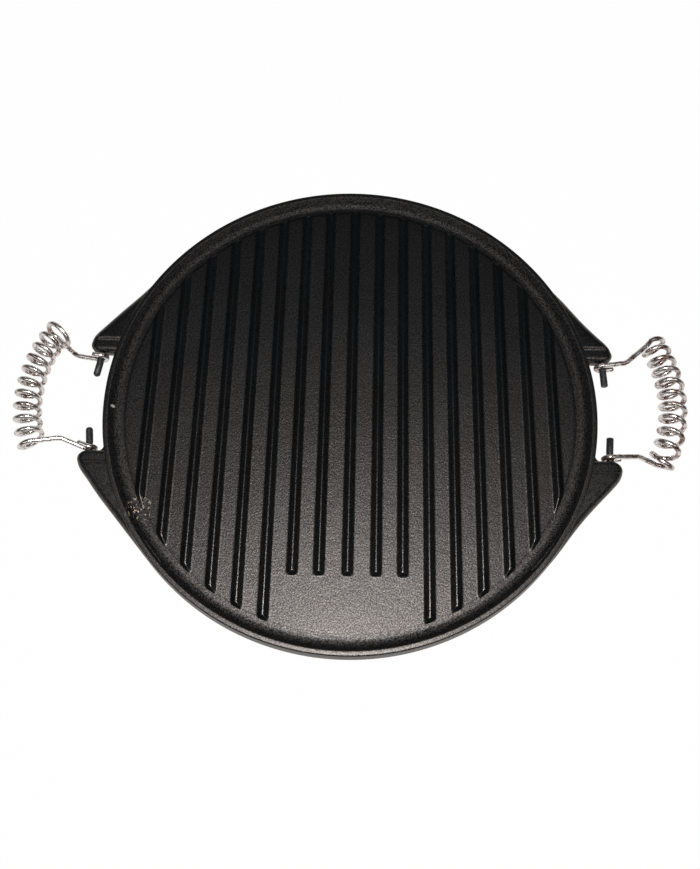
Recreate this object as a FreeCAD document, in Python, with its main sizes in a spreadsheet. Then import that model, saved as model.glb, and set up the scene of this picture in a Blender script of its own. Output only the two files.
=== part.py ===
"""Round ribbed griddle plate with two coiled-wire handles hung on four steel pins.

Frame: millimetres, +Z up. The ribs run along Y, and the handles lie towards -X and +X. The origin
is on the surface that the plate stands on, under the middle of the disc. "Rear" is +Y.
"""
import FreeCAD
import Part
import Sketcher
import math
import os
import re

Vector = FreeCAD.Vector
os.makedirs("parts", exist_ok=True)
doc = FreeCAD.newDocument("griddle")

# Driving dimensions, in millimetres and degrees
SIZES = (
    # the disc, whose outer wall slopes in above and below the parting line halfway up
    ("disc_diameter", 351.0),
    ("disc_height", 20.0),
    ("outer_wall_run", 1.4),
    ("rim_width", 3.5),
    ("rim_edge_radius", 1.3),
    ("inner_wall_run", 3.9),
    ("wall_foot_radius", 2.4),
    ("groove_width", 5.7),
    ("groove_depth", 0.8),
    ("field_depth", 6.0),
    ("underside_depth", 8.0),
    # the ribs across the field, as many at each side as fit
    ("rib_pitch", 17.8),
    ("middle_rib_pitch", 19.0),
    ("rib_height", 3.0),
    ("rib_base_width", 7.8),
    ("rib_crest_radius", 1.4),
    ("rib_end_run", 3.2),
    ("grease_area_length", 39.0),
    ("short_side_rib_count", 2),
    # the four ears
    ("ear_overhang", 15.8),
    ("pin_axis_inset", 7.9),
    ("ear_face_distance", 37.8),
    ("ear_height", 15.0),
    ("ear_corner_radius", 20.0),
    ("ear_edge_radius", 5.6),
    ("boss_height", 12.0),
    ("boss_length", 8.0),
    ("boss_step_run", 2.6),
    ("boss_face_radius", 3.2),
    ("ear_root_radius", 4.0),
    # the pins in the ears
    ("pin_diameter", 5.0),
    ("pin_set_depth", 13.0),
    ("pin_straight_length", 6.8),
    ("pin_length", 18.0),
    ("pin_bend_radius", 12.0),
    ("left_rear_pin_lean", 8.5),
    ("left_front_pin_lean", 8.2),
    ("right_rear_pin_lean", 1.7),
    ("right_front_pin_lean", 6.0),
    ("left_rear_pin_chamfer", 1.2),
    ("left_front_pin_rounding", 2.2),
    ("right_rear_pin_rounding", 0.8),
    ("right_front_pin_chamfer", 0.3),
    # the wire of both handles
    ("wire_diameter", 3.6),
    ("wire_end_chamfer", 0.4),
    ("hook_clearance", 0.3),
    ("rear_hook_gap", 1.4),
    ("front_hook_gap", 3.4),
    ("coil_arc_radius", 94.8),
    ("coil_arc_setback", 46.6),
    ("leg_bend_radius", 8.0),
    # the left handle: its coil's arc, and the tails and bends of its two legs
    ("left_arc_shift", 4.3),
    ("left_rear_angle", 34.2),
    ("left_front_angle", -23.9),
    ("left_rear_tilt", 0.8),
    ("left_front_tilt", 1.0),
    ("left_rear_tail", 4.8),
    ("left_front_tail", 7.4),
    ("left_rear_tail_drift", 0.5),
    ("left_front_tail_drift", 1.3),
    ("left_rear_bend_out", 16.2),
    ("left_rear_bend_along", 2.7),
    ("left_rear_bend_up", -6.0),
    ("left_front_bend_out", 23.5),
    ("left_front_bend_along", 4.0),
    ("left_front_bend_up", 3.0),
    # the right handle, the same
    ("right_arc_shift", 10.7),
    ("right_rear_angle", 29.2),
    ("right_front_angle", -31.6),
    ("right_rear_tilt", 1.0),
    ("right_front_tilt", 2.0),
    ("right_rear_tail", 9.2),
    ("right_front_tail", 11.2),
    ("right_rear_tail_drift", 1.4),
    ("right_front_tail_drift", 0.5),
    ("right_rear_bend_out", 17.5),
    ("right_rear_bend_along", 2.2),
    ("right_rear_bend_up", -5.5),
    ("right_front_bend_out", 20.5),
    ("right_front_bend_along", -0.2),
    ("right_front_bend_up", 0.5),
    # how far a cutting shape runs past what it cuts
    ("overrun", 5.0),
)
COIL_TURNS = 10
LEG_STRAIGHT_SHARE = 0.7

sheet = doc.addObject("Spreadsheet::Sheet", "sizes")
for row, (alias, number) in enumerate(SIZES, start=1):
    sheet.set("A%d" % row, alias)
    sheet.set("B%d" % row, str(number))
    sheet.setAlias("B%d" % row, alias)
doc.recompute()

# Sizes that several outlines share, as expressions
DISC_RADIUS = "disc_diameter / 2"
RIM_OUTER_RADIUS = DISC_RADIUS + " - outer_wall_run"
RIM_INNER_RADIUS = RIM_OUTER_RADIUS + " - rim_width"
WALL_FOOT_RADIUS = RIM_INNER_RADIUS + " - inner_wall_run"
FIELD_RADIUS = WALL_FOOT_RADIUS + " - groove_width"
FIELD_TOP = "disc_height - field_depth"
RIB_TOP = "disc_height - field_depth + rib_height"
ABOVE_RIBS = "disc_height - field_depth + rib_height + overrun"
RIB_END_TOP = "rib_end_run * ( rib_height + overrun ) / rib_height"
SIDE_RIBS = "floor( ( " + FIELD_RADIUS + " - middle_rib_pitch - rib_base_width / 2 ) / rib_pitch ) + 1"
EAR_REACH = "( disc_diameter / 2 + ear_overhang )"
PIN_AXIS = "disc_diameter / 2 + ear_overhang - pin_axis_inset"
BOSS_END = "ear_face_distance + boss_length"
# where the ear's side turns into the tangent to the disc, and that tangent's angle
CORNER_ALONG = "( ear_face_distance + boss_length + boss_step_run )"
CORNER_REACH = "sqrt( {0} ^ 2 + {1} ^ 2 )".format(EAR_REACH, CORNER_ALONG)
TANGENT_ANGLE = "( atan( {1} / {0} ) + acos( {2} / {3} ) )".format(
    EAR_REACH, CORNER_ALONG, "disc_diameter / 2", CORNER_REACH)
CURVE_START = CORNER_ALONG + " - ear_corner_radius * tan( " + TANGENT_ANGLE + " / 2 )"
# Two places closer than this are the same place
NEAR = 0.001


def sized(expression):
    """An expression of size names, with each name pointing at the sheet."""
    names = {alias for alias, number in SIZES}
    return re.sub("[a-z_]+", lambda word: ("sizes." if word[0] in names else "") + word[0], expression)


def value(expression):
    """The number that an expression of size names comes to."""
    total = sheet.evalExpression(str(expression))
    return float(getattr(total, "Value", total))


def plane_sketch(body, role, name, offset=None):
    """A sketch on one of the body's own base planes, moved along its normal by an expression."""
    sketch = body.newObject("Sketcher::SketchObject", name)
    plane = [item for item in body.Origin.OriginFeatures if item.Role == role][0]
    sketch.AttachmentSupport = [(plane, "")]
    sketch.MapMode = "FlatFace"
    if offset:
        sketch.setExpression("AttachmentOffset.Base.z", sized(offset))
    return sketch


def hold(sketch, kind, *where):
    """One constraint, bound to the expression that comes last."""
    expression = where[-1]
    index = sketch.addConstraint(Sketcher.Constraint(kind, *where[:-1], value(expression)))
    sketch.setExpression("Constraints[%d]" % index, sized(expression))


def place(sketch, item, point, across, up):
    """Ties one point of a sketch to its two coordinates, each an expression or zero."""
    for kind, line, expression in (("DistanceX", -2, across), ("DistanceY", -1, up)):
        if expression == 0:
            sketch.addConstraint(Sketcher.Constraint("PointOnObject", item, point, line))
        else:
            hold(sketch, kind, -1, 1, item, point, expression)


def corner(across, up):
    """A corner of a sketch, from a pair of expressions."""
    return Vector(value(across), value(up), 0)


def polygon(sketch, corners):
    """A closed outline of straight lines through corners given as pairs of expressions."""
    points = [corner(across, up) for across, up in corners]
    for start, end in zip(points, points[1:] + points[:1]):
        sketch.addGeometry(Part.LineSegment(start, end), False)
    count = len(corners)
    for item in range(count):
        sketch.addConstraint(Sketcher.Constraint("Coincident", item, 2, (item + 1) % count, 1))
    for item, (across, up) in enumerate(corners):
        place(sketch, item, 1, across, up)


def joined(sketch, *pairs):
    """Makes pairs of curve ends meet."""
    for first, first_end, second, second_end in pairs:
        sketch.addConstraint(Sketcher.Constraint("Coincident", first, first_end, second, second_end))


def base_item(body, role):
    """One of the body's own base axes or planes, as a feature's reference."""
    return ([item for item in body.Origin.OriginFeatures if item.Role == role][0], [""])


def turned(body, kind, name, sketch):
    """A full turn of a sketch about the body's Z axis: a revolution or a groove."""
    feature = body.newObject(kind, name)
    feature.Profile = sketch
    feature.ReferenceAxis = base_item(body, "Z_Axis")
    feature.Angle = 360.0
    doc.recompute()
    return feature


def straight(body, kind, name, sketch, length, symmetric=True):
    """A straight run of a sketch: a pad or a pocket."""
    feature = body.newObject(kind, name)
    feature.Profile = sketch
    feature.setExpression("Length", sized(length))
    feature.SideType = "Symmetric" if symmetric else "One side"
    doc.recompute()
    return feature


def dressed(body, kind, name, base, size_name, size, test):
    """A fillet or chamfer on the edges of the last feature that pass a test."""
    feature = body.newObject(kind, name)
    edges = ["Edge%d" % number for number, edge in enumerate(base.Shape.Edges, start=1) if test(edge)]
    feature.Base = (base, edges)
    feature.setExpression(size_name, sized(size))
    doc.recompute()
    return feature


def is_ring(edge, radius, height):
    """True for an edge round the Z axis with this radius and height, both expressions."""
    curve = edge.Curve
    if not isinstance(curve, Part.Circle) or abs(curve.Center.z - value(height)) > NEAR:
        return False
    return abs(curve.Radius - value(radius)) < NEAR and math.hypot(*curve.Center[:2]) < NEAR


def lies_on(edge, axis, expression):
    """True for an edge that lies wholly in the plane where one coordinate has this value."""
    level = value(expression)
    box = edge.BoundBox
    low, high = (getattr(box, axis + end) for end in ("Min", "Max"))
    return abs(low - level) < NEAR and abs(high - level) < NEAR


def rib_profile(body, name, shift):
    """The section of a rib, standing on the field: two flanks that meet in a rounded crest."""
    sketch = plane_sketch(body, "XZ_Plane", name)
    middle = value(shift) if shift else 0
    half, foot = value("rib_base_width / 2"), value(FIELD_TOP)
    radius, top = value("rib_crest_radius"), value(RIB_TOP)
    centre = Vector(middle, top - radius, 0)
    left, right = Vector(middle - half, foot, 0), Vector(middle + half, foot, 0)
    # where a flank from the foot touches the crest's circle
    reach = math.hypot(half, centre.y - foot)
    lean = math.acos(radius / reach) - math.atan2(centre.y - foot, half)
    across, rise = radius * math.cos(lean), radius * math.sin(lean)
    touches = [centre + Vector(side * across, rise, 0) for side in (1, -1)]
    sketch.addGeometry(Part.LineSegment(left, right), False)
    sketch.addGeometry(Part.LineSegment(right, touches[0]), False)
    crest = Part.ArcOfCircle(Part.Circle(centre, Vector(0, 0, 1), radius), lean, math.pi - lean)
    sketch.addGeometry(crest, False)
    sketch.addGeometry(Part.LineSegment(touches[1], left), False)
    joined(sketch, (0, 2, 1, 1), (3, 2, 0, 1))
    sketch.addConstraint(Sketcher.Constraint("Tangent", 1, 2, 2, 1))
    sketch.addConstraint(Sketcher.Constraint("Tangent", 2, 2, 3, 1))
    hold(sketch, "Radius", 2, "rib_crest_radius")
    place(sketch, 2, 3, shift, RIB_TOP + " - rib_crest_radius")
    away = (shift + " {} rib_base_width / 2") if shift else "{} rib_base_width / 2"
    place(sketch, 0, 1, away.format("-"), FIELD_TOP)
    place(sketch, 0, 2, away.format("+"), FIELD_TOP)
    return sketch


def make_disc():
    """The cast disc without its ears: field, ribs, drip groove, rim and recessed underside."""
    body = doc.addObject("PartDesign::Body", "disc")
    sketch = plane_sketch(body, "XZ_Plane", "field_section")
    polygon(sketch, (
        (0, "underside_depth"),
        (FIELD_RADIUS, "underside_depth"),
        (FIELD_RADIUS, FIELD_TOP),
        (0, FIELD_TOP),
    ))
    turned(body, "PartDesign::Revolution", "field", sketch)

    # the ribs run the whole way across first
    across = "2 * ( %s )" % FIELD_RADIUS
    straight(body, "PartDesign::Pad", "middle_rib", rib_profile(body, "middle_rib_section", 0), across)
    for side, sign in (("right", ""), ("left", "-")):
        sketch = rib_profile(body, side + "_rib_section", sign + "middle_rib_pitch")
        rib = straight(body, "PartDesign::Pad", side + "_rib", sketch, across)
        ribs = body.newObject("PartDesign::LinearPattern", side + "_ribs")
        ribs.Originals = [rib]
        ribs.Direction = base_item(body, "X_Axis")
        ribs.Reversed = side == "left"
        ribs.Mode = "Spacing"
        ribs.setExpression("Offset", sized("rib_pitch"))
        ribs.setExpression("Occurrences", sized(SIDE_RIBS))
        body.Tip = ribs
        doc.recompute()

    # their ends slope down to the round edge of the field
    sketch = plane_sketch(body, "XZ_Plane", "rib_end_section")
    polygon(sketch, (
        (FIELD_RADIUS, FIELD_TOP),
        ("disc_diameter", FIELD_TOP),
        ("disc_diameter", ABOVE_RIBS),
        (FIELD_RADIUS + " - " + RIB_END_TOP, ABOVE_RIBS),
    ))
    turned(body, "PartDesign::Groove", "rib_ends", sketch)

    # the middle ones stop short at the front, on a straight line
    sketch = plane_sketch(body, "YZ_Plane", "short_rib_end_section")
    reach = "grease_area_length - ( %s )" % FIELD_RADIUS
    polygon(sketch, (
        (reach, FIELD_TOP),
        (reach + " + " + RIB_END_TOP, ABOVE_RIBS),
        ("- disc_diameter / 2 - overrun", ABOVE_RIBS),
        ("- disc_diameter / 2 - overrun", FIELD_TOP),
    ))
    straight(body, "PartDesign::Pocket", "short_rib_ends", sketch,
             "2 * ( middle_rib_pitch + ( short_side_rib_count - 0.5 ) * rib_pitch )")

    # the drip groove, the rim and the wall under it
    sketch = plane_sketch(body, "XZ_Plane", "rim_section")
    polygon(sketch, (
        (FIELD_RADIUS + " - overrun", "underside_depth"),
        (WALL_FOOT_RADIUS, "underside_depth"),
        (RIM_INNER_RADIUS, 0),
        (RIM_OUTER_RADIUS, 0),
        (DISC_RADIUS, "disc_height / 2"),
        (RIM_OUTER_RADIUS, "disc_height"),
        (RIM_INNER_RADIUS, "disc_height"),
        (WALL_FOOT_RADIUS, FIELD_TOP + " - groove_depth"),
        (FIELD_RADIUS + " - overrun", FIELD_TOP + " - groove_depth"),
    ))
    rim = turned(body, "PartDesign::Revolution", "rim", sketch)
    feet = dressed(body, "PartDesign::Fillet", "wall_feet", rim, "Radius", "wall_foot_radius",
                   lambda edge: is_ring(edge, WALL_FOOT_RADIUS, "underside_depth")
                   or is_ring(edge, WALL_FOOT_RADIUS, FIELD_TOP + " - groove_depth"))
    dressed(body, "PartDesign::Fillet", "rim_edges", feet, "Radius", "rim_edge_radius",
            lambda edge: any(is_ring(edge, radius, height)
                             for radius in (RIM_INNER_RADIUS, RIM_OUTER_RADIUS)
                             for height in ("0", "disc_height")))
    return body


def make_boss(inside):
    """The end of the right rear ear: thinner than the web, and rounded on its outer side and face."""
    body = doc.addObject("PartDesign::Body", "ear_boss")
    middle = "disc_height / 2"
    sketch = plane_sketch(body, "XY_Plane", "boss_plan", middle)
    boss_outline(sketch, inside)
    boss = straight(body, "PartDesign::Pad", "boss", sketch, "boss_height")
    side = dressed(body, "PartDesign::Fillet", "boss_side", boss, "Radius", "ear_edge_radius",
                   lambda edge: edge.BoundBox.ZLength < NEAR and edge.BoundBox.YLength > NEAR
                   and edge.BoundBox.XMin > value(PIN_AXIS))
    dressed(body, "PartDesign::Fillet", "boss_face_edges", side, "Radius", "boss_face_radius",
            lambda edge: lies_on(edge, "Y", "ear_face_distance")
            and edge.BoundBox.XMax > value(EAR_REACH + " - ear_edge_radius") - NEAR)
    return body


def make_ear():
    """The right rear ear: a web tangent to the disc that ends in a boss with the pin's hole."""
    middle = "disc_height / 2"
    step_end = BOSS_END + " + boss_step_run"
    inside = DISC_RADIUS + " * cos( " + TANGENT_ANGLE + " )"
    boss = make_boss(inside)
    body = doc.addObject("PartDesign::Body", "ear")

    # the web's plan: along the tangent to the disc, then straight to the end face
    sketch = plane_sketch(body, "XY_Plane", "web_plan", middle)
    polygon(sketch, (
        (EAR_REACH, "ear_face_distance"),
        (EAR_REACH, CORNER_ALONG),
        (inside, DISC_RADIUS + " * sin( " + TANGENT_ANGLE + " )"),
        (inside, "ear_face_distance"),
    ))
    web = straight(body, "PartDesign::Pad", "web", sketch, "ear_height")
    bend = dressed(body, "PartDesign::Fillet", "web_corner", web, "Radius", "ear_corner_radius",
                   lambda edge: lies_on(edge, "X", EAR_REACH) and lies_on(edge, "Y", CORNER_ALONG))
    dressed(body, "PartDesign::Fillet", "web_edges", bend, "Radius", "ear_edge_radius",
            lambda edge: lies_on(edge, "X", EAR_REACH) and edge.BoundBox.ZLength < NEAR)

    # the web slopes down to the thinner boss
    sketch = plane_sketch(body, "YZ_Plane", "step_section")
    polygon(sketch, (
        ("ear_face_distance - overrun", middle + " + ear_height / 2 + overrun"),
        ("ear_face_distance - overrun", middle + " - ear_height / 2 - overrun"),
        (step_end, middle + " - ear_height / 2 - overrun"),
        (step_end, middle + " - ear_height / 2"),
        (BOSS_END, middle + " - boss_height / 2"),
        (BOSS_END, middle + " + boss_height / 2"),
        (step_end, middle + " + ear_height / 2"),
        (step_end, middle + " + ear_height / 2 + overrun"),
    ))
    straight(body, "PartDesign::Pocket", "step", sketch, "2 * ( %s + overrun )" % EAR_REACH)
    union = body.newObject("PartDesign::Boolean", "boss_on_web")
    union.Type = "Fuse"
    union.addObjects([boss])
    doc.recompute()

    # a hollow fillet between the end face and the disc's wall
    sketch = plane_sketch(body, "XY_Plane", "root_plan", middle)
    root_outline(sketch, inside)
    straight(body, "PartDesign::Pad", "root", sketch, "boss_height - 2 * boss_face_radius")

    # nothing of it reaches into the pan
    sketch = plane_sketch(body, "XY_Plane", "pan_plan", middle)
    circle(sketch, 0, 0, RIM_OUTER_RADIUS + " - rim_width / 2")
    straight(body, "PartDesign::Pocket", "pan_side", sketch, "ear_height + 2 * overrun")

    sketch = plane_sketch(body, "XZ_Plane", "pin_hole_section", "- ear_face_distance")
    circle(sketch, PIN_AXIS, middle, "pin_diameter / 2")
    straight(body, "PartDesign::Pocket", "pin_hole", sketch, "pin_set_depth", symmetric=False)
    return body


def circle(sketch, across, up, radius):
    """A whole circle, its centre a pair of expressions or zeros."""
    centre = corner(across, up)
    sketch.addGeometry(Part.Circle(centre, Vector(0, 0, 1), value(radius)), False)
    hold(sketch, "Radius", 0, radius)
    place(sketch, 0, 3, across, up)


def boss_outline(sketch, inside):
    """The boss's plan: a straight side that starts to curve in as the web's does."""
    centre = (EAR_REACH + " - ear_corner_radius", CURVE_START)
    curve = "sqrt( ear_corner_radius ^ 2 - ( " + BOSS_END + " - ( " + CURVE_START + " ) ) ^ 2 )"
    corners = (
        (inside, "ear_face_distance"),
        (EAR_REACH, "ear_face_distance"),
        (EAR_REACH, CURVE_START),
        (centre[0] + " + " + curve, BOSS_END),
        (inside, BOSS_END),
    )
    points = [corner(*pair) for pair in corners]
    middle = corner(*centre)
    rise = math.asin((points[3].y - middle.y) / value("ear_corner_radius"))
    ring = Part.Circle(middle, Vector(0, 0, 1), value("ear_corner_radius"))
    sketch.addGeometry(Part.LineSegment(points[0], points[1]), False)
    sketch.addGeometry(Part.LineSegment(points[1], points[2]), False)
    sketch.addGeometry(Part.ArcOfCircle(ring, 0, rise), False)
    sketch.addGeometry(Part.LineSegment(points[3], points[4]), False)
    sketch.addGeometry(Part.LineSegment(points[4], points[0]), False)
    joined(sketch, (0, 2, 1, 1), (1, 2, 2, 1), (2, 2, 3, 1), (3, 2, 4, 1), (4, 2, 0, 1))
    for item, pair in ((0, corners[0]), (1, corners[1]), (2, corners[2]), (4, corners[4])):
        place(sketch, item, 1, *pair)
    place(sketch, 2, 3, *centre)
    hold(sketch, "DistanceY", -1, 1, 3, 1, BOSS_END)


def root_outline(sketch, inside):
    """The plan of the fillet's block: its arc touches the end face and the disc's widest circle."""
    along = "ear_face_distance - ear_root_radius"
    across = "sqrt( ( disc_diameter / 2 + ear_root_radius ) ^ 2 - ( " + along + " ) ^ 2 )"
    share = "( disc_diameter / 2 ) / ( disc_diameter / 2 + ear_root_radius )"
    touch = ("( %s ) * %s" % (across, share), "( %s ) * %s" % (along, share))
    corners = (
        (across, "ear_face_distance"),
        (across, "ear_face_distance + ear_root_radius"),
        (inside, "ear_face_distance + ear_root_radius"),
        (inside, touch[1]),
        touch,
    )
    points = [corner(*pair) for pair in corners]
    for start, end in zip(points, points[1:]):
        sketch.addGeometry(Part.LineSegment(start, end), False)
    centre = corner(across, along)
    ring = Part.Circle(centre, Vector(0, 0, 1), value("ear_root_radius"))
    sketch.addGeometry(Part.ArcOfCircle(ring, math.pi / 2, math.pi + math.atan2(centre.y, centre.x)), False)
    joined(sketch, (0, 2, 1, 1), (1, 2, 2, 1), (2, 2, 3, 1), (3, 2, 4, 2), (4, 1, 0, 1))
    for item in range(4):
        place(sketch, item, 1, *corners[item])
    place(sketch, 3, 2, *touch)
    hold(sketch, "Radius", 4, "ear_root_radius")


def mirrored(source, name, normal):
    """A copy of an object on the other side of a plane through the origin."""
    feature = doc.addObject("Part::Mirroring", name)
    feature.Source = source
    feature.Normal = normal
    return feature


def make_plate():
    """The whole casting: the disc with its four ears."""
    disc = make_disc()
    ear = make_ear()
    left = mirrored(ear, "left_rear_ear", Vector(1, 0, 0))
    front = mirrored(ear, "right_front_ear", Vector(0, 1, 0))
    left_front = mirrored(left, "left_front_ear", Vector(0, 1, 0))
    plate = doc.addObject("Part::MultiFuse", "griddle_plate")
    plate.Shapes = [disc, ear, left, front, left_front]
    plate.Label = "griddle_plate"
    doc.recompute()
    return plate


def make_pin(name, turn):
    """A round pin set in an ear's end face, whose free end leans out. Made for the right rear ear.

    Its own origin is on the handle's hinge line, level with the middle of the disc.
    """
    body = doc.addObject("PartDesign::Body", name)
    body.Label = name
    lean = name + "_lean"
    root = "ear_face_distance + pin_set_depth"
    straight_end = "ear_face_distance - pin_straight_length"
    tip_along = "ear_face_distance - pin_length"
    bent = ("pin_bend_radius * ( 1 - cos( %s ) )" % lean,
            "%s - pin_bend_radius * sin( %s )" % (straight_end, lean))
    tip = ("%s + ( %s - ( %s ) ) * tan( %s )" % (bent[0], bent[1], tip_along, lean), tip_along)
    path = plane_sketch(body, "XY_Plane", name + "_path")
    path.addGeometry(Part.LineSegment(corner(0, root), corner(0, straight_end)), False)
    ring = Part.Circle(corner("pin_bend_radius", straight_end), Vector(0, 0, 1), value("pin_bend_radius"))
    path.addGeometry(Part.ArcOfCircle(ring, math.pi, math.pi + math.radians(value(lean))), False)
    path.addGeometry(Part.LineSegment(corner(*bent), corner(*tip)), False)
    joined(path, (0, 2, 1, 1), (1, 2, 2, 1))
    place(path, 0, 1, 0, root)
    place(path, 0, 2, 0, straight_end)
    place(path, 1, 3, "pin_bend_radius", straight_end)
    hold(path, "DistanceY", -1, 1, 2, 1, bent[1])
    place(path, 2, 2, *tip)
    section = plane_sketch(body, "XZ_Plane", name + "_section", "- ( %s )" % root)
    circle(section, 0, 0, "pin_diameter / 2")
    doc.recompute()
    rod = body.newObject("PartDesign::AdditivePipe", name + "_rod")
    rod.Profile = section
    rod.Spine = path
    doc.recompute()
    end = corner(*tip)
    finish, kind, size_name = (("rounding", "PartDesign::Fillet", "Radius")
                               if name + "_rounding" in dict(SIZES)
                               else ("chamfer", "PartDesign::Chamfer", "Size"))
    dressed(body, kind, name + "_tip", rod, size_name, name + "_" + finish,
            lambda edge: (edge.CenterOfMass - end).Length < NEAR)
    body.Placement = FreeCAD.Placement(Vector(0, 0, 0), turn)
    sign = "-" if "left" in name else ""
    body.setExpression("Placement.Base.x", sized("%s( %s )" % (sign, PIN_AXIS)))
    body.setExpression("Placement.Base.z", sized("disc_height / 2"))
    doc.recompute()
    return body


def bow(start, end, heading):
    """The middle of the arc that leaves one point along a heading and ends at another."""
    chord = end - start
    turn = heading.getAngle(chord)
    along = chord * (1 / chord.Length)
    side = heading - along * heading.dot(along)
    side.normalize()
    return (start + end) * 0.5 + side * (chord.Length / 2 * math.tan(turn / 2))


def arc(start, end, heading, at_end=False):
    """An arc between two points. The heading holds at its start, or at its end."""
    back = heading * -1
    middle = bow(end, start, back) if at_end else bow(start, end, heading)
    return Part.Arc(start, middle, end).toShape()


def biarc(start, heading, end, last_heading):
    """Two tangent arcs from one point and heading to another."""
    gap = end - start
    both = heading + last_heading
    spread = 2 * (1 - heading.dot(last_heading))
    drift = gap.dot(both)
    if spread < NEAR * NEAR:
        reach = gap.dot(gap) / (4 * gap.dot(last_heading))
    else:
        reach = (-drift + math.sqrt(drift * drift + spread * gap.dot(gap))) / spread
    first = start + heading * reach
    second = end - last_heading * reach
    middle = (first + second) * 0.5
    return [arc(start, middle, heading), arc(middle, end, last_heading, at_end=True)]


def spot(out, along, up):
    """A point of a handle, by its distance out from the hinge line, along it and above it."""
    return Vector(out, along, -up)


def towards(start, end):
    """The direction from one point to another, one unit long."""
    return (end - start).normalize()


def coil_plan(side):
    """A handle's coil: the function that gives its middle line, and the travel to its far end."""
    coil = value("( disc_height - wire_diameter ) / 2")
    rear, front = value(side + "_rear_angle"), value(side + "_front_angle")
    rear_tilt, front_tilt = value(side + "_rear_tilt"), value(side + "_front_tilt")
    whole = (2 * COIL_TURNS + 1) * math.pi

    def tilt(travel):
        """How far an end turn leans over, by the travel from that end. It fades out in a turn."""
        if travel > 2 * math.pi:
            return 0
        return -math.cos(travel) * (math.cos((travel - math.pi) / 2) ** 2 if travel > math.pi else 1)

    def coil_point(travel):
        """A point of the coil, by the angle travelled round it from its lowest point at the rear."""
        bearing = rear + (front - rear) * travel / whole
        bearing = math.radians(bearing + rear_tilt * tilt(travel) - front_tilt * tilt(whole - travel))
        reach = value("coil_arc_radius") + coil * math.sin(travel)
        out = reach * math.cos(bearing) - value("coil_arc_setback")
        along = reach * math.sin(bearing) + value(side + "_arc_shift")
        return spot(out, along, -coil * math.cos(travel))

    return coil_point, whole


def leg_edges(side, end, coil_end, coil_heading):
    """One leg of a handle's wire, from its tail round the pin and out to the coil."""
    name = "%s_%s_" % (side, end)
    hook = value("( pin_diameter + wire_diameter ) / 2 + hook_clearance")
    along = value("ear_face_distance - %s_hook_gap - wire_diameter / 2" % end)
    along = along if end == "rear" else -along
    tip = spot(value(name + "tail"), along + value(name + "tail_drift"), hook)
    out, up = value(name + "bend_out"), value(name + "bend_up")
    bend = spot(out, along + value(name + "bend_along"), up)
    # the leg leaves the hook where a line to the bend touches the hook's circle
    leaving = math.atan2(up, out) - math.acos(hook / math.hypot(out, up))
    bottom = spot(hook * math.cos(leaving), along, hook * math.sin(leaving))
    top, inboard = spot(0, along, hook), spot(-hook, along, 0)
    inward, outward, onward = towards(tip, top), towards(bottom, bend), towards(bend, coil_end)

    edges = [Part.LineSegment(tip, top).toShape()]
    edges += biarc(top, inward, inboard, spot(0, 0, -1))
    edges += biarc(inboard, spot(0, 0, -1), bottom, outward)
    # the bend, rounded between its two straight runs
    setback = value("leg_bend_radius") * math.tan(outward.getAngle(onward) / 2)
    bend_start, bend_end = bend - outward * setback, bend + onward * setback
    entry = bend + (coil_end - bend) * LEG_STRAIGHT_SHARE
    edges.append(Part.LineSegment(bottom, bend_start).toShape())
    edges.append(arc(bend_start, bend_end, outward))
    edges.append(Part.LineSegment(bend_end, entry).toShape())
    return edges + biarc(entry, onward, coil_end, coil_heading)


def handle_edges(side):
    """The middle line of one handle's wire: a leg, the coil and the other leg."""
    coil_point, whole = coil_plan(side)

    def heading(travel):
        """The way that the wire runs there."""
        return towards(coil_point(travel - NEAR), coil_point(travel + NEAR))

    edges = leg_edges(side, "rear", coil_point(0), heading(0))
    halves = [half * math.pi for half in range(2 * COIL_TURNS + 2)]
    for first, last in zip(halves, halves[1:]):
        edges += biarc(coil_point(first), heading(first), coil_point(last), heading(last))
    return edges + leg_edges(side, "front", coil_point(whole), heading(whole) * -1)


def least_gap(wire, skipped):
    """The least clear gap between stretches of the wire further apart along it than this length."""
    spacing = value("wire_diameter / 4")
    points = wire.discretize(Number=int(wire.Length / spacing))
    apart = int(skipped / spacing)
    nearest = min((point - other).Length
                  for place, point in enumerate(points) for other in points[place + apart:])
    return nearest - value("wire_diameter")


def is_wire_end(edge, wire):
    """True for the round edge of a flat face at an end of the wire."""
    return any(isinstance(face.Surface, Part.Plane) for face in wire.ancestorsOfType(edge, Part.Face))


def make_handle(side):
    """One handle, a single length of wire. Its own origin is on its hinge line."""
    name = side + "_spring_handle"
    route = Part.Wire(Part.__sortEdges__(handle_edges(side)))
    start = route.OrderedVertexes[0].Point
    heading = route.OrderedEdges[0].tangentAt(route.OrderedEdges[0].FirstParameter)
    if (start - route.OrderedEdges[0].valueAt(route.OrderedEdges[0].FirstParameter)).Length > NEAR:
        heading = route.OrderedEdges[0].tangentAt(route.OrderedEdges[0].LastParameter) * -1
    ring = Part.Wire(Part.makeCircle(value("wire_diameter / 2"), start, heading))
    wire = route.makePipeShell([ring], True, False)
    ends = [edge for edge in wire.Edges if is_wire_end(edge, wire)]
    solid = wire.makeChamfer(value("wire_end_chamfer"), ends)
    handle = doc.addObject("Part::Feature", name)
    handle.Label = name
    handle.Shape = solid
    radii = [edge.Curve.Radius for edge in route.Edges if isinstance(edge.Curve, Part.Circle)]
    full = math.pi * value("wire_diameter / 2") ** 2 * route.Length
    hook = value("( pin_diameter + wire_diameter ) / 2 + hook_clearance")
    print("%s: least radius %.2f, least gap to itself %.2f, volume over section times length %.4f"
          % (name, min(radii), least_gap(route, math.pi * hook), solid.Volume / full))
    handle.Placement = FreeCAD.Placement(Vector(0, 0, 0), HANDLE_TURNS[side])
    sign = "-" if side == "left" else ""
    handle.setExpression("Placement.Base.x", sized("%s( %s )" % (sign, PIN_AXIS)))
    handle.setExpression("Placement.Base.z", sized("disc_height / 2"))
    doc.recompute()
    return handle


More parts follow.
